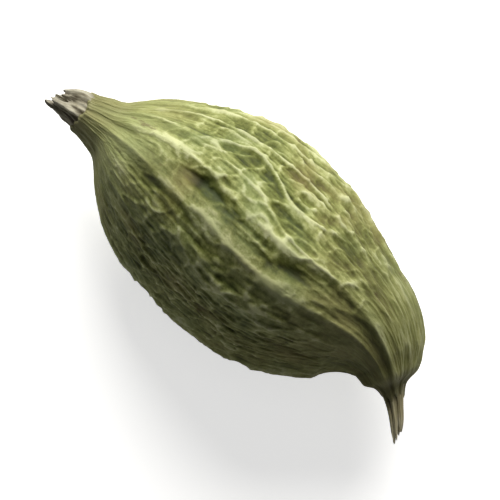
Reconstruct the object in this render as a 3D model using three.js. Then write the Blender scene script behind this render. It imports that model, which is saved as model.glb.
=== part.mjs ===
// A dried green cardamom pod, lying down. Millimetres, +Z up.
// It runs along X: the withered flower end is at -X and the torn stalk at +X.
// One of the husk's three corners is on top, and the husk rests on a small flat
// spot in the middle of its lower face. The origin is the middle of that spot.

import * as THREE from 'three';
import { mergeVertices } from 'three/addons/utils/BufferGeometryUtils.js';

// Driving dimensions. A station is a distance from the flower tip along the pod.
const podLength = 16.5;
const widestRadius = 3.62;
const flowerJoint = 1.6; // station where the flower remains meet the husk
const stalkJoint = 15.22; // station where the stalk meets the husk
const jointGap = 0.04; // clearance between two pieces at a joint
const restStation = 8.8; // station of the flat spot's middle
const restDepth = 3.23; // centre line down to the flat spot

// The centre line bends sideways (-Y) at both ends, and a little down at the stalk.
const stalkBendFrom = 13;
const stalkBendSide = 0.16;
const stalkBendDown = 0.03;
const beakBendFrom = 3.6;
const beakBendSide = 0.033;

// The husk's outline as [station, radius], from the flower joint to the stalk joint.
const huskOutline = [
  [flowerJoint + jointGap / 2, 0],
  [flowerJoint + jointGap / 2, 0.62],
  [1.85, 0.9],
  [2.4, 1.14],
  [3.1, 1.82],
  [4.0, 2.47],
  [5.4, 3.14],
  [7.0, 3.52],
  [8.6, widestRadius],
  [10.3, 3.5],
  [11.9, 2.98],
  [13.3, 2.36],
  [14.3, 1.73],
  [14.75, 1.33],
  [15.03, 1.05],
  [stalkJoint - jointGap / 2, 0.5],
  [stalkJoint - jointGap / 2, 0],
];

// The stalk's outline, from the husk to its torn tip.
const stalkOutline = [
  [stalkJoint + jointGap / 2, 0],
  [stalkJoint + jointGap / 2, 0.42],
  [15.5, 0.33],
  [15.9, 0.26],
  [16.35, 0.22],
  [podLength, 0.15],
  [podLength, 0],
];

// The flower remains' outline, from their tip to the husk.
const flowerOutline = [
  [0.06, 0],
  [0, 0.16],
  [0.2, 0.35],
  [0.6, 0.5],
  [1.0, 0.62],
  [1.35, 0.7],
  [flowerJoint - jointGap / 2, 0.68],
  [flowerJoint - jointGap / 2, 0],
];

// Section: three corners, the top one turned a little towards -Y.
const cornerAngle = (2 * Math.PI) / 3;
const threeSidedness = 0.082;
const topCornerTurn = -0.185; // radians
const cornerSway = 0.06; // radians
const swayLength = 14;
const shoulder = { height: 0.34, angle: 0, width: 0.34 }; // sharpens the top corner
const sideTaper = { from: 8, to: 15.5, share: 0.58, fullRadius: 1.5 }; // the -Y side draws in to the stalk

// Relief on the husk: heights in millimetres at the widest station, angles in radians.
const ridge = { height: 0.13, angle: 0, width: 0.06 };
const ridgeWear = 0.25; // the ridge is lower in some places
const furrow = { height: -0.31, angle: 0.17, width: 0.1 };
const sideRib = { height: 0.19, angle: 0.39, width: 0.12 };
const furrowSway = { angle: 0.05, length: 5.3 }; // furrow and rib wander by this
const farSideShare = 0.2; // furrow and rib on a corner's other side
const lowerShare = 0.5; // furrow and rib under the pod
const pits = { first: 6.4, spacing: 3.8, share: 0.5 }; // the furrow deepens at these stations
const knobShare = 0.4; // the rib beside the furrow rises between the pits
const calmAngle = 0.2; // ribs and net fade out this close to a corner
const shadySide = { share: 0.4, turnsAt: 4 }; // the -Y face is smoother
const ribs = { count: 20, height: 0.09, sharpness: 2.2, sway: 0.9, swayLength: 7 };
const net = { waves: 20, around: 14, along: 1.35, height: 0.15, lineWidth: 0.42, seed: 41 };
const netPatches = { least: 0.45, turnsAt: 1.5 }; // the net is faint in some places
const netAtCorners = 0.3;
const netLevel = 0.4; // share of a line's height that lies below the smooth surface
const dents = { waves: 7, around: 3.2, along: 0.75, height: 0.08, seed: 7 };
const restFade = 2.3; // relief fades out within this distance of the flat spot's middle

// Faces around and along each piece.
const huskFaces = [96, 54];
const stalkFaces = [18, 9];
const flowerFaces = [24, 10];

// Ribs on the stalk and folds on the flower remains, as shares of their radius.
const stalkRibs = { count: 6, share: 0.09 };
const flowerFolds = { count: 6, share: 0.13, phase: 0.6 };
const flowerSlant = 0.5; // the flower's -Y side reaches further by this
const flowerNotch = 0.4;
const stalkTear = 0.22; // the torn tip's slant
const rimRadius = 0.2; // slants fade out inside this radius

// Repeatable random numbers from 0 to 1.
function randomSource(seed) {
  let state = seed;
  return () => {
    state = (state * 16807) % 2147483647;
    return state / 2147483647;
  };
}

// Waves that close round the pod, so a sum of them has no seam.
function makeWaves({ waves, around, along, seed }) {
  const random = randomSource(seed);
  return Array.from({ length: waves }, () => {
    const heading = random() * 2 * Math.PI;
    const size = 0.65 + 0.6 * random();
    return {
      around: Math.round(around * size * Math.cos(heading)),
      along: along * size * Math.sin(heading),
      phase: random() * 2 * Math.PI,
    };
  });
}

function sumWaves(waves, angle, station) {
  let sum = 0;
  for (const wave of waves) sum += Math.cos(wave.around * angle + wave.along * station + wave.phase);
  return sum / Math.sqrt(waves.length / 2);
}

const netWaves = makeWaves(net);
const dentWaves = makeWaves(dents);

const bump = (offset, { angle, width }) => Math.exp(-(((offset - angle) / width) ** 2));
const facing = (wave) => 0.5 * (1 + wave); // turns a sine or cosine into a share from 0 to 1

// The husk's relief at an angle from its top corner and a station along it.
function huskRelief(angle, station, radius) {
  const offset = angle - cornerAngle * Math.round(angle / cornerAngle);
  const pitWave = Math.cos((2 * Math.PI * (station - pits.first)) / pits.spacing);
  const pit = 1 - pits.share + pits.share * pitWave;
  const knob = 1 - knobShare * pitWave;
  const topShare = lowerShare + (1 - lowerShare) * facing(Math.cos(angle));
  const wandering = offset - furrowSway.angle * Math.sin((2 * Math.PI * station) / furrowSway.length);
  const dent = sumWaves(dentWaves, angle, station);
  let height = ridge.height * (1 + ridgeWear * dent) * bump(offset, ridge);
  height += furrow.height * pit * topShare * bump(wandering, furrow);
  height += furrow.height * farSideShare * topShare * bump(-offset, furrow);
  height += sideRib.height * knob * topShare * bump(wandering, sideRib);
  height += sideRib.height * farSideShare * topShare * bump(-offset, sideRib);

  const offCorner = 1 - Math.exp(-((offset / calmAngle) ** 2));
  const lit = facing(Math.tanh(shadySide.turnsAt * Math.sin(angle)));
  const sideShare = shadySide.share + (1 - shadySide.share) * lit;
  const ribSway = ribs.sway * Math.sin((2 * Math.PI * station) / ribs.swayLength + angle);
  const rib = Math.exp(ribs.sharpness * (Math.cos(ribs.count * angle + ribSway) - 1));
  height += ribs.height * offCorner * sideShare * (rib - netLevel);
  const line = Math.exp(-((sumWaves(netWaves, angle, station) / net.lineWidth) ** 2));
  const patch = netPatches.least + (1 - netPatches.least) * facing(Math.tanh(netPatches.turnsAt * dent));
  const netShare = (netAtCorners + (1 - netAtCorners) * offCorner) * sideShare * patch;
  height += net.height * netShare * (line - netLevel);
  height += dents.height * dent;

  const below = radius * (Math.PI - Math.abs(angle));
  const fromRest = ((station - restStation) ** 2 + below ** 2) / restFade ** 2;
  return (height * (1 - Math.exp(-fromRest)) * radius) / widestRadius;
}

// A point at a station, an angle from the top towards +Y, and a radius.
function placeAround(station, angle, radius) {
  const stalkBend = Math.max(0, station - stalkBendFrom);
  const beakBend = Math.max(0, beakBendFrom - station);
  const centre = new THREE.Vector3(
    station - restStation,
    -stalkBendSide * stalkBend ** 2 - beakBendSide * beakBend ** 2,
    restDepth - stalkBendDown * stalkBend ** 2,
  );
  const heading = new THREE.Vector3(
    1,
    -2 * stalkBendSide * stalkBend + 2 * beakBendSide * beakBend,
    -2 * stalkBendDown * stalkBend,
  ).normalize();
  const side = new THREE.Vector3(0, 0, 1).cross(heading).normalize();
  const up = new THREE.Vector3().crossVectors(heading, side);
  return centre.addScaledVector(up, radius * Math.cos(angle)).addScaledVector(side, radius * Math.sin(angle));
}

// A closed skin round an outline: shape turns (station, angle, radius) into a point.
function skin(outline, [around, along], shape) {
  const curve = new THREE.SplineCurve(outline.map(([station, radius]) => new THREE.Vector2(station, radius)));
  curve.arcLengthDivisions = 800;
  const ball = new THREE.SphereGeometry(1, around, along);
  ball.deleteAttribute('normal');
  ball.deleteAttribute('uv');
  const geometry = mergeVertices(ball);
  const position = geometry.attributes.position;
  for (let index = 0; index < position.count; index += 1) {
    const share = Math.acos(THREE.MathUtils.clamp(position.getY(index), -1, 1)) / Math.PI;
    const angle = Math.atan2(-position.getZ(index), position.getX(index));
    const [station, radius] = curve.getPointAt(share).toArray();
    const point = shape(station, angle, Math.max(0, radius));
    position.setXYZ(index, point.x, point.y, point.z);
  }
  geometry.computeVertexNormals();
  return geometry;
}

// The share of its radius that the husk keeps where its -Y side draws in towards the stalk.
function drawnIn(station, angle, radius) {
  const reach = THREE.MathUtils.clamp((station - sideTaper.from) / (sideTaper.to - sideTaper.from), 0, 1);
  const fullness = Math.min(1, (radius / sideTaper.fullRadius) ** 2);
  return 1 - sideTaper.share * reach ** 3 * fullness * facing(-Math.sin(angle));
}

function huskShape(station, angle, radius) {
  const sway = cornerSway * Math.sin((2 * Math.PI * station) / swayLength);
  const turned = angle + (topCornerTurn + sway) * facing(Math.cos(angle));
  const threeSided = radius * (1 + threeSidedness * Math.cos(3 * angle)) * drawnIn(station, angle, radius);
  const top = (shoulder.height * bump(angle, shoulder) * radius) / widestRadius;
  const point = placeAround(station, turned, threeSided + top + huskRelief(angle, station, radius));
  point.z = Math.max(0, point.z);
  return point;
}

function stalkShape(station, angle, radius) {
  const ribbed = radius * (1 + stalkRibs.share * Math.cos(stalkRibs.count * angle));
  const reach = (station - stalkJoint) / (podLength - stalkJoint);
  const tear = stalkTear * reach ** 2 * facing(Math.sin(angle)) * Math.min(1, radius / rimRadius);
  return placeAround(station - tear, angle, ribbed);
}

function flowerShape(station, angle, radius) {
  const fold = Math.cos(flowerFolds.count * angle + flowerFolds.phase);
  const reach = ((flowerJoint - station) / flowerJoint) ** 2;
  const slant = flowerSlant * facing(Math.sin(angle)) + flowerNotch * facing(Math.cos(3 * angle)) ** 2;
  const shift = reach * slant * Math.min(1, radius / rimRadius);
  return placeAround(station + shift, angle, radius * (1 + flowerFolds.share * fold));
}

function piece(name, geometry, color, roughness) {
  const mesh = new THREE.Mesh(geometry, new THREE.MeshStandardMaterial({ color, roughness, metalness: 0 }));
  mesh.name = name;
  return mesh;
}

const pod = new THREE.Group();
pod.add(piece('husk', skin(huskOutline, huskFaces, huskShape), 0x97a268, 0.62));
pod.add(piece('dried_flower', skin(flowerOutline, flowerFaces, flowerShape), 0x857c5f, 0.8));
pod.add(piece('stalk', skin(stalkOutline, stalkFaces, stalkShape), 0x5b5334, 0.75));

export default pod;
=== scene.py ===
# A dried green cardamom pod on a pale floor, seen from above.
import math

import bmesh
import bpy
import numpy as np
from mathutils import Matrix, Vector, noise


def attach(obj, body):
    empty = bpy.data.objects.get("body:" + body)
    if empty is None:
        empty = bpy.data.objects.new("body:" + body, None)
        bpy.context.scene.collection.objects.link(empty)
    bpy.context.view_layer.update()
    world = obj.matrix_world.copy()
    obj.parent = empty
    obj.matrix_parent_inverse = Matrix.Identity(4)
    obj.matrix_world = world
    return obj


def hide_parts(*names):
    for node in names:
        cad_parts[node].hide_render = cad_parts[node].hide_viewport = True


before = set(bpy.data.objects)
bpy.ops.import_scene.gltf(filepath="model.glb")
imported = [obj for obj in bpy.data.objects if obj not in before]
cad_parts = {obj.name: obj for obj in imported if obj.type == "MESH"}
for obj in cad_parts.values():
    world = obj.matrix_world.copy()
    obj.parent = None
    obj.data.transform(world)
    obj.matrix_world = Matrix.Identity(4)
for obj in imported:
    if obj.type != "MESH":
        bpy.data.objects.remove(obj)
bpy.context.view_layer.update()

mm = 0.001

# The pod's form. Lengths are in millimetres and angles in radians.
# A station is a distance from the flower tip along the pod.
podForm = {
    "widestRadius": 3.62,
    "restStation": 8.8,  # the middle of the flat spot that it lies on
    "restDepth": 3.23,  # centre line down to the flat spot
    "stalkBendFrom": 13.0,
    "stalkBendSide": 0.16,
    "stalkBendDown": 0.03,
    "beakBendFrom": 3.6,
    "beakBendSide": 0.033,
}


def facing(wave):
    return 0.5 * (1 + wave)  # turns a sine or cosine into a share from 0 to 1


randomFactor = 16807
randomRange = 2147483647


# The same numbers from 0 to 1 each time, for one seed.
def repeatableNumbers(seed):
    state = seed
    while True:
        state = (state * randomFactor) % randomRange
        yield state / randomRange


# How fine each wave is, as a share of what its values ask for.
waveFineness = {"least": 0.65, "spread": 0.6}


# Waves that close round the pod, so a sum of them has no seam.
def makeWaves(values):
    draw = repeatableNumbers(values["seed"])
    waves = []
    for _ in range(values["waves"]):
        heading = next(draw) * 2 * math.pi
        fineness = waveFineness["least"] + waveFineness["spread"] * next(draw)
        around = math.floor(values["around"] * fineness * math.cos(heading) + 0.5)
        along = values["along"] * fineness * math.sin(heading)
        waves.append((around, along, next(draw) * 2 * math.pi))
    return waves


def sumWaves(waves, angle, station):
    total = sum(np.cos(around * angle + along * station + phase) for around, along, phase in waves)
    return total / math.sqrt(len(waves) / 2)


# Points at a station, an angle from the top towards +Y, and a radius, in metres.
def placeAround(station, angle, radius):
    form = podForm
    stalkBend = np.maximum(0, station - form["stalkBendFrom"])
    beakBend = np.maximum(0, form["beakBendFrom"] - station)
    centre = np.stack([
        station - form["restStation"],
        -form["stalkBendSide"] * stalkBend**2 - form["beakBendSide"] * beakBend**2,
        form["restDepth"] - form["stalkBendDown"] * stalkBend**2,
    ], axis=1)
    heading = np.stack([
        np.ones_like(station),
        -2 * form["stalkBendSide"] * stalkBend + 2 * form["beakBendSide"] * beakBend,
        -2 * form["stalkBendDown"] * stalkBend,
    ], axis=1)
    heading /= np.linalg.norm(heading, axis=1)[:, None]
    side = np.cross([0.0, 0.0, 1.0], heading)
    side /= np.linalg.norm(side, axis=1)[:, None]
    up = np.cross(heading, side)
    across = up * np.cos(angle)[:, None] + side * np.sin(angle)[:, None]
    return (centre + across * radius[:, None]) * mm


stepsPerSpan = 60  # how finely an outline is followed between two of its points


# A smooth line through an outline's points, read at shares of its length. Each span is a
# cubic curve that leaves and arrives in line with its neighbours.
def readOutline(outline, share):
    points = np.array(outline, float)
    ends = np.vstack([points[:1], points, points[-1:]])
    step = np.linspace(0, 1, stepsPerSpan, endpoint=False)[:, None]
    spans = []
    for first in range(len(points) - 1):
        before, start, stop, after = ends[first:first + 4]
        leave, arrive = (stop - before) / 2, (after - start) / 2
        spans.append((2 * start - 2 * stop + leave + arrive) * step**3
                     + (-3 * start + 3 * stop - 2 * leave - arrive) * step**2 + leave * step + start)
    line = np.vstack(spans + [points[-1:]])
    lengths = np.linalg.norm(np.diff(line, axis=0), axis=1)
    reach = np.concatenate([[0], np.cumsum(lengths)]) / lengths.sum()
    return np.interp(share, reach, line[:, 0]), np.maximum(0, np.interp(share, reach, line[:, 1]))


# How far each point stands out of the skin around it, in millimetres. More rounds look further around.
def standOut(mesh, rounds):
    count = len(mesh.vertices)
    points, normals = np.empty(count * 3), np.empty(count * 3)
    mesh.vertices.foreach_get("co", points)
    mesh.vertices.foreach_get("normal", normals)
    points, normals = points.reshape(-1, 3), normals.reshape(-1, 3)
    edges = np.empty(len(mesh.edges) * 2, int)
    mesh.edges.foreach_get("vertices", edges)
    first, second = edges.reshape(-1, 2).T
    neighbours = np.bincount(first, minlength=count) + np.bincount(second, minlength=count)
    smooth = points
    for _ in range(rounds):
        sums = [np.bincount(first, smooth[second, axis], count)
                + np.bincount(second, smooth[first, axis], count) for axis in range(3)]
        smooth = np.stack(sums, axis=1) / neighbours[:, None]
    return ((points - smooth) * normals).sum(axis=1) / mm


# A closed skin round an outline. The shape turns stations, angles and radii into points
# and, by name, the values that the material reads at each of them.
def makeSkin(name, values, shape):
    bm = bmesh.new()
    around, along = values["faces"]
    bmesh.ops.create_uvsphere(bm, u_segments=around, v_segments=along, radius=1.0)
    ball = np.array([vert.co for vert in bm.verts])
    share = np.arccos(np.clip(ball[:, 2], -1, 1)) / math.pi
    angle = np.arctan2(ball[:, 1], ball[:, 0])
    station, radius = readOutline(values["outline"], share)
    points, masks = shape(station, angle, radius)
    for vert, point in zip(bm.verts, points):
        vert.co = point
    bmesh.ops.recalc_face_normals(bm, faces=bm.faces)
    for face in bm.faces:
        face.smooth = True
    mesh = bpy.data.meshes.new(name)
    bm.to_mesh(mesh)
    bm.free()
    for key, rounds in values.get("standOut", {}).items():
        masks[key] = standOut(mesh, rounds)
    for key, numbers in masks.items():
        kind, field = ("FLOAT", "value") if numbers.ndim == 1 else ("FLOAT_VECTOR", "vector")
        mesh.attributes.new(key, kind, "POINT").data.foreach_set(field, numbers.ravel().astype(np.float32))
    piece = bpy.data.objects.new(name, mesh)
    bpy.context.scene.collection.objects.link(piece)
    return piece


# Coordinates that follow the pod: round it at one radius, and along it.
def podCoordinates(station, angle):
    radius = podForm["widestRadius"]
    return np.stack([radius * np.cos(angle), radius * np.sin(angle), station], axis=1)


print("Husk")
huskValues = {
    "faces": (408, 230),
    "standOut": {"fineStand": 10, "broadStand": 160},
    "outline": [(1.3, 0), (1.28, 0.4), (1.3, 0.7), (1.5, 0.77), (1.85, 0.9), (2.4, 1.14),
                (3.1, 1.82), (4.0, 2.47), (5.4, 3.14), (7.0, 3.52), (8.6, 3.62), (10.3, 3.5),
                (11.9, 2.98), (13.3, 2.36), (14.3, 1.73), (14.75, 1.33), (15.03, 1.05), (15.2, 0.62),
                (15.35, 0.46), (15.5, 0.38), (15.52, 0.28), (15.48, 0)],
    "corners": 3,
    "cornerShare": 0.082,  # how far the corners stand out, as a share of the radius
    "topCornerTurn": -0.185,
    "cornerSway": 0.06,
    "swayLength": 14,
    "sideTaper": {"from": 8, "to": 15.5, "share": 0.58, "fullRadius": 1.5},
    "shoulder": {"height": 0.34, "angle": 0, "width": 0.34},  # sharpens the top corner
    "ridge": {"height": 0.13, "angle": 0, "width": 0.05},
    "ridgeWear": 0.25,  # the ridge is lower in some places
    "furrow": {"height": -0.31, "angle": 0.17, "width": 0.1},
    "sideRib": {"height": 0.19, "angle": 0.39, "width": 0.12},
    "furrowSway": {"angle": 0.05, "length": 5.3},  # furrow and rib wander by this
    "farSideShare": 0.2,
    "lowerShare": 0.5,
    "pits": {"first": 6.4, "spacing": 3.8, "share": 0.5},
    "knobShare": 0.4,
    "calmAngle": 0.2,
    "ribs": {"count": 20, "height": 0.09, "sharpness": 2.2, "sway": 0.9, "swayLength": 7},
    "net": {"waves": 20, "around": 14, "along": 1.35, "height": 0.15, "lineWidth": 0.42, "seed": 41},
    "netPatches": {"least": 0.45, "turnsAt": 1.5},
    "netAtCorners": 0.3,
    "netLevel": 0.4,
    "shadySide": {"share": 0.4, "turnsAt": 4},  # the -Y face is smoother
    "frays": {"waves": 9, "around": 9, "along": 0.8, "height": 0.07, "seed": 31, "fade": 0.35,
              "flowerRim": 1.3, "stalkRim": 15.5},
    "dents": {"waves": 7, "around": 3.2, "along": 0.75, "height": 0.08, "seed": 7},
    "restFade": 2.3,
    "fineNet": {"waves": 18, "around": 28, "along": 5.0, "height": 0.06, "lineWidth": 0.4, "seed": 93,
                "level": 0.45, "atCorners": 0.4},
    "paintedShadeStrip": {"angle": 0.08, "width": 0.15},  # painted shade on the ridge and beside it
    "fibres": {"count": 88, "height": 0.012, "waves": 6, "around": 4, "along": 1.3, "seed": 12,
               "wander": 2.4},
    "wrinkles": {"size": 0.55, "stretch": 0.6, "height": 0.045, "middle": 1.1,
                 "roughness": 1.0, "lacunarity": 2.1, "octaves": 4, "offset": 0.9, "gain": 2.0},
    "strands": {"size": 0.22, "stretch": 0.12, "height": 0.03},
    "grain": {"size": 0.17, "stretch": 0.8, "height": 0.025},
}


# Noise read along the skin: size is in millimetres, and a low stretch draws it out along the pod.
def readNoise(read, values, coordinates):
    spread = coordinates * np.array([1, 1, values["stretch"]]) / values["size"]
    return np.array([read(Vector(place)) for place in spread])


def ridgedNoise(place):
    wrinkles = huskValues["wrinkles"]
    return noise.ridged_multi_fractal(place, wrinkles["roughness"], wrinkles["lacunarity"],
                                      wrinkles["octaves"], wrinkles["offset"], wrinkles["gain"])


def bump(offset, values):
    return np.exp(-((offset - values["angle"]) / values["width"])**2)


# The husk's relief and its finer skin in millimetres, how much of both stays near the flat
# spot and the ends, and the share of the painted shade strip along the ridge.
def huskRelief(angle, station, radius):
    husk = huskValues
    cornerAngle = 2 * math.pi / husk["corners"]
    offset = angle - cornerAngle * np.floor(angle / cornerAngle + 0.5)
    pits = husk["pits"]
    pitWave = np.cos(2 * math.pi * (station - pits["first"]) / pits["spacing"])
    pit = 1 - pits["share"] + pits["share"] * pitWave
    knob = 1 - husk["knobShare"] * pitWave
    topShare = husk["lowerShare"] + (1 - husk["lowerShare"]) * facing(np.cos(angle))
    farSide = husk["farSideShare"]
    swayOfFurrow = husk["furrowSway"]
    wandering = offset - swayOfFurrow["angle"] * np.sin(2 * math.pi * station / swayOfFurrow["length"])
    dent = sumWaves(makeWaves(husk["dents"]), angle, station)
    height = husk["ridge"]["height"] * (1 + husk["ridgeWear"] * dent) * bump(offset, husk["ridge"])
    height = height + husk["furrow"]["height"] * pit * topShare * bump(wandering, husk["furrow"])
    height = height + husk["furrow"]["height"] * farSide * topShare * bump(-offset, husk["furrow"])
    height = height + husk["sideRib"]["height"] * knob * topShare * bump(wandering, husk["sideRib"])
    height = height + husk["sideRib"]["height"] * farSide * topShare * bump(-offset, husk["sideRib"])

    offCorner = 1 - np.exp(-(offset / husk["calmAngle"])**2)
    shady = husk["shadySide"]
    sideShare = shady["share"] + (1 - shady["share"]) * facing(np.tanh(shady["turnsAt"] * np.sin(angle)))
    ribs = husk["ribs"]
    ribSway = ribs["sway"] * np.sin(2 * math.pi * station / ribs["swayLength"] + angle)
    rib = np.exp(ribs["sharpness"] * (np.cos(ribs["count"] * angle + ribSway) - 1))
    height = height + ribs["height"] * offCorner * sideShare * (rib - husk["netLevel"])
    net = husk["net"]
    line = np.exp(-(sumWaves(makeWaves(net), angle, station) / net["lineWidth"])**2)
    patches = husk["netPatches"]
    patch = patches["least"] + (1 - patches["least"]) * facing(np.tanh(patches["turnsAt"] * dent))
    netShare = (husk["netAtCorners"] + (1 - husk["netAtCorners"]) * offCorner) * sideShare * patch
    height = height + net["height"] * netShare * (line - husk["netLevel"])
    height = height + husk["dents"]["height"] * dent

    # finer skin between the raised lines
    fineNet = husk["fineNet"]
    fineLine = np.exp(-(sumWaves(makeWaves(fineNet), angle, station) / fineNet["lineWidth"])**2)
    fineShare = fineNet["atCorners"] + (1 - fineNet["atCorners"]) * offCorner
    fine = fineNet["height"] * fineShare * (fineLine - fineNet["level"])
    fibres = husk["fibres"]
    wander = fibres["wander"] * sumWaves(makeWaves(fibres), angle, station)
    fine = fine + fibres["height"] * np.cos(fibres["count"] * angle + wander)
    coordinates = podCoordinates(station, angle)
    wrinkles, strands, grain = husk["wrinkles"], husk["strands"], husk["grain"]
    fine = fine + wrinkles["height"] * (readNoise(ridgedNoise, wrinkles, coordinates) - wrinkles["middle"])
    fine = fine + strands["height"] * readNoise(noise.noise, strands, coordinates)
    fine = fine + grain["height"] * readNoise(noise.noise, grain, coordinates)

    below = radius * (math.pi - np.abs(angle))
    fromRest = ((station - podForm["restStation"])**2 + below**2) / husk["restFade"]**2
    settle = (1 - np.exp(-fromRest)) * radius / podForm["widestRadius"]
    # painted shade: the ridge and the furrow beside it are drawn darker
    paintedShadeStrip = topShare * bump(wandering, husk["paintedShadeStrip"])
    return height, fine, settle, paintedShadeStrip


def shapeHusk(station, angle, radius):
    husk = huskValues
    sway = husk["cornerSway"] * np.sin(2 * math.pi * station / husk["swayLength"])
    turned = angle + (husk["topCornerTurn"] + sway) * facing(np.cos(angle))
    taper = husk["sideTaper"]
    reach = np.clip((station - taper["from"]) / (taper["to"] - taper["from"]), 0, 1)
    fullness = np.minimum(1, (radius / taper["fullRadius"])**2)
    drawnIn = 1 - taper["share"] * reach**3 * fullness * facing(-np.sin(angle))
    cornered = radius * (1 + husk["cornerShare"] * np.cos(husk["corners"] * angle)) * drawnIn
    shoulder = husk["shoulder"]["height"] * bump(angle, husk["shoulder"]) * radius / podForm["widestRadius"]
    height, fine, settle, paintedShadeStrip = huskRelief(angle, station, radius)
    frays = husk["frays"]
    nearFlower = np.exp(-np.abs(station - frays["flowerRim"]) / frays["fade"])
    nearStalk = np.exp(-np.abs(station - frays["stalkRim"]) / frays["fade"])
    nearRim = nearFlower - nearStalk
    station = station + frays["height"] * nearRim * sumWaves(makeWaves(frays), angle, station)
    points = placeAround(station, turned, cornered + shoulder + (height + fine) * settle)
    points[:, 2] = np.maximum(0, points[:, 2])
    return points, {"podCoord": podCoordinates(station, angle), "relief": height, "station": station,
                    "paintedShadeStrip": paintedShadeStrip}


husk = makeSkin("husk_skin", huskValues, shapeHusk)

print("Stalk")
stalkValues = {
    "faces": (96, 90),
    "outline": [(14.9, 0), (14.92, 0.3), (15.2, 0.42), (15.5, 0.33), (15.9, 0.26), (16.35, 0.22),
                (16.5, 0.16), (16.42, 0.09), (16.3, 0)],
    "ribs": {"count": 6, "share": 0.08},
    "folds": {"waves": 7, "around": 6, "along": 1.6, "share": 0.07, "seed": 15},
    "strands": {"count": 19, "share": 0.05, "twist": 1.1},
    "joint": 15.22,
    "tip": 16.5,
    "tear": 0.22,
    "shreds": {"waves": 9, "around": 8, "along": 0.5, "height": 0.12, "seed": 5},
    "rimRadius": 0.2,
}


def shapeStalk(station, angle, radius):
    stalk = stalkValues
    ribs, strands, folds = stalk["ribs"], stalk["strands"], stalk["folds"]
    relief = ribs["share"] * np.cos(ribs["count"] * angle)
    relief = relief + folds["share"] * sumWaves(makeWaves(folds), angle, station)
    relief = relief + strands["share"] * np.cos(strands["count"] * angle + strands["twist"] * station)
    reach = np.clip((station - stalk["joint"]) / (stalk["tip"] - stalk["joint"]), 0, 1)
    onRim = np.minimum(1, radius / stalk["rimRadius"])
    tear = stalk["tear"] * reach**2 * facing(np.sin(angle)) * onRim
    shreds = stalk["shreds"]["height"] * sumWaves(makeWaves(stalk["shreds"]), angle, station)
    tear = tear + shreds * reach**4 * onRim
    points = placeAround(station - tear, angle, radius * (1 + relief))
    return points, {"podCoord": podCoordinates(station, angle), "relief": relief, "station": station}


stalk = makeSkin("stalk_stub", stalkValues, shapeStalk)

print("Dried flower")
flowerValues = {
    "faces": (144, 120),
    "outline": [(1.2, 0), (1.15, 0.1), (0.8, 0.17), (0.4, 0.22), (0.05, 0.3), (0, 0.35), (0.1, 0.4),
                (0.6, 0.5), (1.0, 0.59), (1.28, 0.62), (1.5, 0.55), (1.7, 0.42), (1.75, 0)],
    "folds": {"count": 6, "share": 0.1, "phase": 0.6, "twist": 0.5},
    "crumples": {"waves": 9, "around": 5, "along": 2.6, "share": 0.1, "seed": 64},
    "creases": {"count": 17, "share": 0.04, "twist": 1.3},
    "strands": {"size": 0.9, "stretch": 1.1, "share": 0.12},
    "crinkles": {"size": 0.4, "stretch": 1.3, "share": 0.07},
    "looseOver": 0.9,  # the relief fades over this length before the husk
    "atHusk": 0.25,
    "length": 1.6,
    "slant": 0.5,
    "notches": {"count": 3, "depth": 0.4},
    "frays": {"waves": 12, "around": 9, "along": 0.6, "height": 0.16, "seed": 23},
    "rimRadius": 0.2,
}


def shapeFlower(station, angle, radius):
    flower = flowerValues
    folds, crumples, creases = flower["folds"], flower["crumples"], flower["creases"]
    coordinates = podCoordinates(station, angle)
    loose = np.clip((flower["length"] - station) / flower["looseOver"], flower["atHusk"], 1)
    relief = folds["share"] * np.cos(folds["count"] * angle + folds["phase"] + folds["twist"] * station)
    relief = relief + crumples["share"] * sumWaves(makeWaves(crumples), angle, station)
    for part in (flower["strands"], flower["crinkles"]):
        relief = relief + part["share"] * readNoise(noise.noise, part, coordinates)
    relief = relief * loose + creases["share"] * np.cos(creases["count"] * angle + creases["twist"] * station)
    reach = np.clip(1 - station / flower["length"], 0, 1)**2
    onRim = np.minimum(1, radius / flower["rimRadius"])
    notches = flower["notches"]
    slant = flower["slant"] * facing(np.sin(angle))
    slant = slant + notches["depth"] * facing(np.cos(notches["count"] * angle))**2
    frays = flower["frays"]["height"] * sumWaves(makeWaves(flower["frays"]), angle, station)
    points = placeAround(station + (reach * slant + reach**2 * frays) * onRim, angle, radius * (1 + relief))
    return points, {"podCoord": coordinates, "relief": relief, "station": station}


flower = makeSkin("flower_remains", flowerValues, shapeFlower)

for piece, nodeName in ((husk, "husk"), (stalk, "stalk"), (flower, "dried_flower")):
    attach(piece, "root")
    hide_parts(nodeName)

print("Materials")


def addNode(tree, kind, inputs=None, **settings):
    made = tree.nodes.new(kind)
    for key, value in settings.items():
        setattr(made, key, value)
    for key, value in (inputs or {}).items():
        if isinstance(value, bpy.types.NodeSocket):
            tree.links.new(value, made.inputs[key])
        else:
            made.inputs[key].default_value = value
    return made


def addRamp(tree, value, stops):
    ramp = addNode(tree, "ShaderNodeValToRGB", {"Fac": value})
    elements = ramp.color_ramp.elements
    while len(elements) < len(stops):
        elements.new(0.5)  # the next loop puts it in its place
    for element, (place, colour) in zip(elements, stops):
        element.position = place
        element.color = (*colour, 1)
    return ramp.outputs["Color"]


# Places of a mix node's sockets: its names stand for several kinds of value at once.
mixShare, mixFirst, mixSecond, mixResult = 0, 6, 7, 2


def addMix(tree, share, first, second, blend="MIX"):
    mix = addNode(tree, "ShaderNodeMix", data_type="RGBA", blend_type=blend)
    for place, value in ((mixShare, share), (mixFirst, first), (mixSecond, second)):
        socket = mix.inputs[place]
        if isinstance(value, bpy.types.NodeSocket):
            tree.links.new(value, socket)
        else:
            socket.default_value = value if socket.type == "VALUE" else (*value, 1)
    return mix.outputs[mixResult]


# A base value plus shares of several sockets.
def addSum(tree, base, shares):
    total = base
    for socket, share in shares:
        part = addNode(tree, "ShaderNodeMath", {0: socket, 1: share, 2: total}, operation="MULTIPLY_ADD")
        total = part.outputs[0]
    return total


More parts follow.
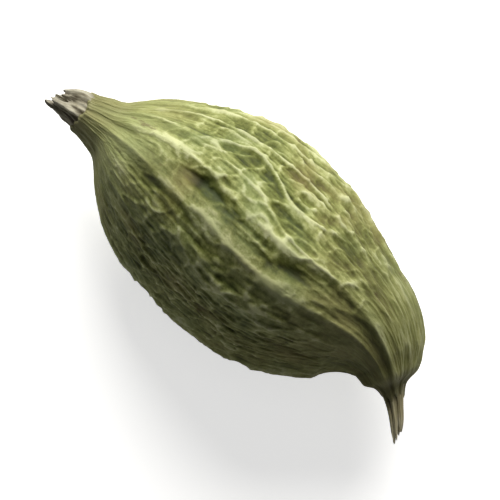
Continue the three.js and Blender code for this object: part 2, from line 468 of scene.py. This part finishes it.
def addMath(tree, operation, first, second, clamp=False):
    made = addNode(tree, "ShaderNodeMath", {0: first, 1: second}, operation=operation, use_clamp=clamp)
    return made.outputs[0]


def readAttribute(tree, name, output="Fac"):
    return addNode(tree, "ShaderNodeAttribute", attribute_name=name).outputs[output]


def addNoise(tree, coordinate, values):
    return addNode(tree, "ShaderNodeTexNoise", {
        "Vector": coordinate, "Scale": values["scale"], "Detail": values["detail"],
        "Roughness": values["roughness"]}).outputs["Fac"]


# A share that grows from 0 where the value is start to most where it is full.
def addShare(tree, value, start, full, most, least=0.0):
    return addNode(tree, "ShaderNodeMapRange", {"Value": value, "From Min": start, "From Max": full,
                                                "To Min": least, "To Max": most}).outputs[0]


# A layer of another colour, where the value lies between the layer's limits.
def addLayer(tree, colour, value, layer):
    share = addShare(tree, value, layer["from"], layer["to"], layer["most"])
    return addMix(tree, share, colour, layer["colour"])


fibreValues = {
    "streaks": {"detail": 5.0, "roughness": 0.62},
    "grain": {"detail": 6.0, "roughness": 0.7},
    "grainFineness": 1.7,  # how much finer the grain is than the streaks
}


# Fine streaks that run along dried plant skin, and the grain across them.
def makeFibreGroup():
    tree = bpy.data.node_groups.new("dryFibres", "ShaderNodeTree")
    tree.interface.new_socket("Coordinate", in_out="INPUT", socket_type="NodeSocketVector")
    for name in ("Fineness", "Stretch"):
        tree.interface.new_socket(name, in_out="INPUT", socket_type="NodeSocketFloat")
    for name in ("Streaks", "Grain"):
        tree.interface.new_socket(name, in_out="OUTPUT", socket_type="NodeSocketFloat")
    given = addNode(tree, "NodeGroupInput")
    result = addNode(tree, "NodeGroupOutput")
    split = addNode(tree, "ShaderNodeSeparateXYZ", {0: given.outputs["Coordinate"]})
    along = addMath(tree, "MULTIPLY", split.outputs["Z"], given.outputs["Stretch"])
    drawnOut = addNode(tree, "ShaderNodeCombineXYZ",
                       {"X": split.outputs["X"], "Y": split.outputs["Y"], "Z": along})
    fineness = given.outputs["Fineness"]
    grainScale = addMath(tree, "MULTIPLY", fineness, fibreValues["grainFineness"])
    streaks = addNoise(tree, drawnOut.outputs[0], {"scale": fineness, **fibreValues["streaks"]})
    grain = addNoise(tree, given.outputs["Coordinate"], {"scale": grainScale, **fibreValues["grain"]})
    tree.links.new(streaks, result.inputs["Streaks"])
    tree.links.new(grain, result.inputs["Grain"])
    return tree


fibreGroup = makeFibreGroup()


def startMaterial(name, finish):
    material = bpy.data.materials.new(name)
    material.use_nodes = True
    tree = material.node_tree
    coordinate = readAttribute(tree, "podCoord", "Vector")
    relief = readAttribute(tree, "relief")
    station = readAttribute(tree, "station")
    fibres = addNode(tree, "ShaderNodeGroup", node_tree=fibreGroup)
    tree.links.new(coordinate, fibres.inputs["Coordinate"])
    fibres.inputs["Fineness"].default_value = finish["fineness"]
    fibres.inputs["Stretch"].default_value = finish["stretch"]
    return material, tree, coordinate, relief, station, fibres


def finishMaterial(tree, finish, colour, grain, height):
    shader = tree.nodes["Principled BSDF"]
    shader.inputs["Specular IOR Level"].default_value = finish["specular"]
    tree.links.new(colour, shader.inputs["Base Color"])
    smooth, rough = finish["roughness"]
    tree.links.new(addShare(tree, grain, 0.0, 1.0, rough, smooth), shader.inputs["Roughness"])
    bumps = addNode(tree, "ShaderNodeBump", {
        "Height": height, "Strength": finish["bumpStrength"], "Distance": finish["bumpDepth"] * mm})
    tree.links.new(bumps.outputs["Normal"], shader.inputs["Normal"])


# The finishes. Stations and the depth of bumps are in millimetres, and a noise's scale
# and the fibres' fineness are per millimetre.
huskFinish = {
    "fineness": 4.5,
    "stretch": 0.12,
    "level": -0.97,
    "byRelief": 0.3,
    "byBroadStand": 1.6,
    "byFineStand": 5.0,
    "byStreaks": 0.9,
    "byGrain": 0.9,
    "byMottle": 1.1,
    "tones": [(0.0, (0.034, 0.039, 0.005)), (0.24, (0.085, 0.096, 0.013)), (0.48, (0.178, 0.198, 0.045)),
              (0.72, (0.335, 0.36, 0.125)), (1.0, (0.6, 0.62, 0.33))],
    # painted shade along the ridge: the tint multiplies the colour there
    "paintedShade": {"tint": (0.46, 0.44, 0.34), "share": 0.75},
    "mottle": {"scale": 1.0, "detail": 2.0, "roughness": 0.5},
    "patches": {"scale": 0.45, "detail": 3.0, "roughness": 0.5},
    "straw": {"colour": (0.3, 0.25, 0.09), "from": 0.5, "to": 0.75, "most": 0.6},
    "leaf": {"colour": (0.11, 0.16, 0.055), "from": 0.48, "to": 0.28, "most": 0.55},
    "ends": [{"colour": (0.4, 0.42, 0.17), "from": 5.2, "to": 2.4, "most": 0.6},
             {"colour": (0.14, 0.115, 0.05), "from": 2.9, "to": 1.3, "most": 0.65},
             {"colour": (0.2, 0.19, 0.075), "from": 9.5, "to": 14.5, "most": 0.55},
             {"colour": (0.14, 0.115, 0.05), "from": 14.9, "to": 15.6, "most": 0.6}],
    "stains": {"scale": 1.1, "detail": 5.0, "roughness": 0.65, "colour": (0.1, 0.06, 0.025),
               "from": 0.64, "to": 0.72, "most": 0.6},
    "roughness": (0.5, 0.72),
    "specular": 0.3,
    "bumpStrength": 0.6,
    "bumpDepth": 0.09,
}


def makeHuskMaterial():
    finish = huskFinish
    material, tree, coordinate, relief, station, fibres = startMaterial("husk_dry_skin", finish)
    streaks, grain = fibres.outputs["Streaks"], fibres.outputs["Grain"]

    # tone from the relief: painted shade darkens the hollows, and the raised lines are paler, partly their
    # own colour
    level = addSum(tree, finish["level"], (
        (relief, finish["byRelief"]),
        (readAttribute(tree, "broadStand"), finish["byBroadStand"]),
        (readAttribute(tree, "fineStand"), finish["byFineStand"]),
        (streaks, finish["byStreaks"]),
        (grain, finish["byGrain"]),
        (addNoise(tree, coordinate, finish["mottle"]), finish["byMottle"])))
    colour = addRamp(tree, level, finish["tones"])

    # painted shade: a darker strip along the ridge
    paintedShade = finish["paintedShade"]
    paintedShadeShare = addMath(tree, "MULTIPLY", readAttribute(tree, "paintedShadeStrip"), paintedShade["share"], clamp=True)
    colour = addMix(tree, paintedShadeShare, colour, paintedShade["tint"], "MULTIPLY")

    # broad patches of straw and leaf green
    patches = addNoise(tree, coordinate, finish["patches"])
    for layer in (finish["straw"], finish["leaf"]):
        colour = addLayer(tree, colour, patches, layer)

    # the two ends
    for layer in finish["ends"]:
        colour = addLayer(tree, colour, station, layer)

    # a few brown stains
    stains = finish["stains"]
    colour = addLayer(tree, colour, addNoise(tree, coordinate, stains), stains)

    finishMaterial(tree, finish, colour, grain, addMath(tree, "ADD", streaks, grain))
    return material


stalkFinish = {
    "fineness": 1.3,
    "stretch": 0.6,
    "level": -0.25,
    "byRelief": 1.6,
    "byStreaks": 1.5,
    "tones": [(0.3, (0.1, 0.085, 0.04)), (0.5, (0.28, 0.245, 0.13)), (0.75, (0.5, 0.45, 0.27))],
    "end": {"colour": (0.48, 0.45, 0.33), "from": 16.0, "to": 16.5, "most": 0.6},
    "roughness": (0.6, 0.85),
    "specular": 0.4,
    "bumpStrength": 0.6,
    "bumpDepth": 0.05,
}

flowerFinish = {
    "fineness": 1.0,
    "stretch": 0.9,
    "level": -0.75,
    "byRelief": 1.3,
    "byStreaks": 2.5,
    "tones": [(0.2, (0.1, 0.082, 0.05)), (0.5, (0.27, 0.245, 0.17)), (0.8, (0.42, 0.395, 0.3))],
    "end": {"colour": (0.31, 0.29, 0.24), "from": 0.7, "to": 0.1, "most": 0.4},
    "roughness": (0.65, 0.9),
    "specular": 0.4,
    "bumpStrength": 0.6,
    "bumpDepth": 0.05,
}


# Dry fibre, paler or greyer at the piece's torn end.
def makeEndMaterial(name, finish):
    material, tree, _, relief, station, fibres = startMaterial(name, finish)
    streaks = fibres.outputs["Streaks"]
    level = addSum(tree, finish["level"], ((relief, finish["byRelief"]), (streaks, finish["byStreaks"])))
    colour = addLayer(tree, addRamp(tree, level, finish["tones"]), station, finish["end"])
    finishMaterial(tree, finish, colour, fibres.outputs["Grain"], streaks)
    return material


husk.data.materials.append(makeHuskMaterial())
stalk.data.materials.append(makeEndMaterial("stalk_dry_fibre", stalkFinish))
flower.data.materials.append(makeEndMaterial("flower_dry_paper", flowerFinish))

print("Floor, light and camera")
# Lengths are in metres here, apart from the lens and the sensor, which are in millimetres.
studioValues = {
    "floorSize": 0.8,
    "floorColour": (0.86, 0.86, 0.85),
    "floorRoughness": 0.7,
    "floorGlow": 0.65,
    "floorGlowColour": (1.0, 1.0, 1.0),
    "turn": math.radians(39.3),  # the pod lies at this angle in the picture
    "elevation": math.radians(84),
    "viewWidth": 17.0 * mm,
    "lens": 500.0,
    "sensor": 36.0,
    "aim": Vector((-0.2, -0.2, 2.5)) * mm,
    "clip": (0.005, 10.0),
    "worldColour": (1.0, 0.99, 0.95),
    "worldStrength": 0.03,
    "lamps": {
        "key": {"direction": (-0.45, 0.8, 0.64), "distance": 0.2, "size": 0.16, "power": 0.68,
                "colour": (1.0, 0.985, 0.95)},
        "top": {"direction": (0.1, 0.1, 1.0), "distance": 0.3, "size": 0.25, "power": 0.05,
                "colour": (1.0, 1.0, 1.0)},
    },
}


def makeFloor():
    bm = bmesh.new()
    bmesh.ops.create_grid(bm, x_segments=1, y_segments=1, size=studioValues["floorSize"] / 2)
    mesh = bpy.data.meshes.new("floor")
    bm.to_mesh(mesh)
    bm.free()
    floor = bpy.data.objects.new("floor", mesh)
    bpy.context.scene.collection.objects.link(floor)
    material = bpy.data.materials.new("pale_floor")
    material.use_nodes = True
    shader = material.node_tree.nodes["Principled BSDF"]
    shader.inputs["Base Color"].default_value = (*studioValues["floorColour"], 1)
    shader.inputs["Roughness"].default_value = studioValues["floorRoughness"]
    shader.inputs["Emission Color"].default_value = (*studioValues["floorGlowColour"], 1)
    # a glow that only the camera sees keeps the shadow pale
    cameraRay = addNode(material.node_tree, "ShaderNodeLightPath").outputs["Is Camera Ray"]
    glow = addMath(material.node_tree, "MULTIPLY", cameraRay, studioValues["floorGlow"])
    material.node_tree.links.new(glow, shader.inputs["Emission Strength"])
    mesh.materials.append(material)


def addSoftbox(name, values):
    light = bpy.data.lights.new(name, "AREA")
    light.shape = "DISK"
    light.size = values["size"]
    light.energy = values["power"]
    light.color = values["colour"]
    lamp = bpy.data.objects.new(name, light)
    bpy.context.scene.collection.objects.link(lamp)
    outward = Vector(values["direction"]).normalized()
    place = studioValues["aim"] + outward * values["distance"]
    lamp.matrix_world = Matrix.Translation(place) @ outward.to_track_quat("Z", "Y").to_matrix().to_4x4()


def makeCamera():
    values = studioValues
    camera = bpy.data.objects.new("camera", bpy.data.cameras.new("camera"))
    camera.data.lens = values["lens"]
    camera.data.sensor_width = values["sensor"]
    camera.data.clip_start, camera.data.clip_end = values["clip"]
    distance = values["viewWidth"] * values["lens"] / values["sensor"]
    pictureDown = Vector((math.sin(values["turn"]), -math.cos(values["turn"]), 0))
    towards = pictureDown * math.cos(values["elevation"]) + Vector((0, 0, math.sin(values["elevation"])))
    right = Vector((math.cos(values["turn"]), math.sin(values["turn"]), 0))
    up = towards.cross(right)
    place = values["aim"] + towards * distance
    turn = Matrix((right, up, towards)).transposed().to_4x4()
    camera.matrix_world = Matrix.Translation(place) @ turn
    bpy.context.scene.collection.objects.link(camera)
    bpy.context.scene.camera = camera


makeFloor()
for lampName, lampValues in studioValues["lamps"].items():
    addSoftbox(lampName, lampValues)
makeCamera()
bpy.context.scene.view_settings.view_transform = "Standard"

world = bpy.context.scene.world or bpy.data.worlds.new("world")
bpy.context.scene.world = world
world.use_nodes = True
background = world.node_tree.nodes["Background"]
background.inputs["Color"].default_value = (*studioValues["worldColour"], 1)
background.inputs["Strength"].default_value = studioValues["worldStrength"]
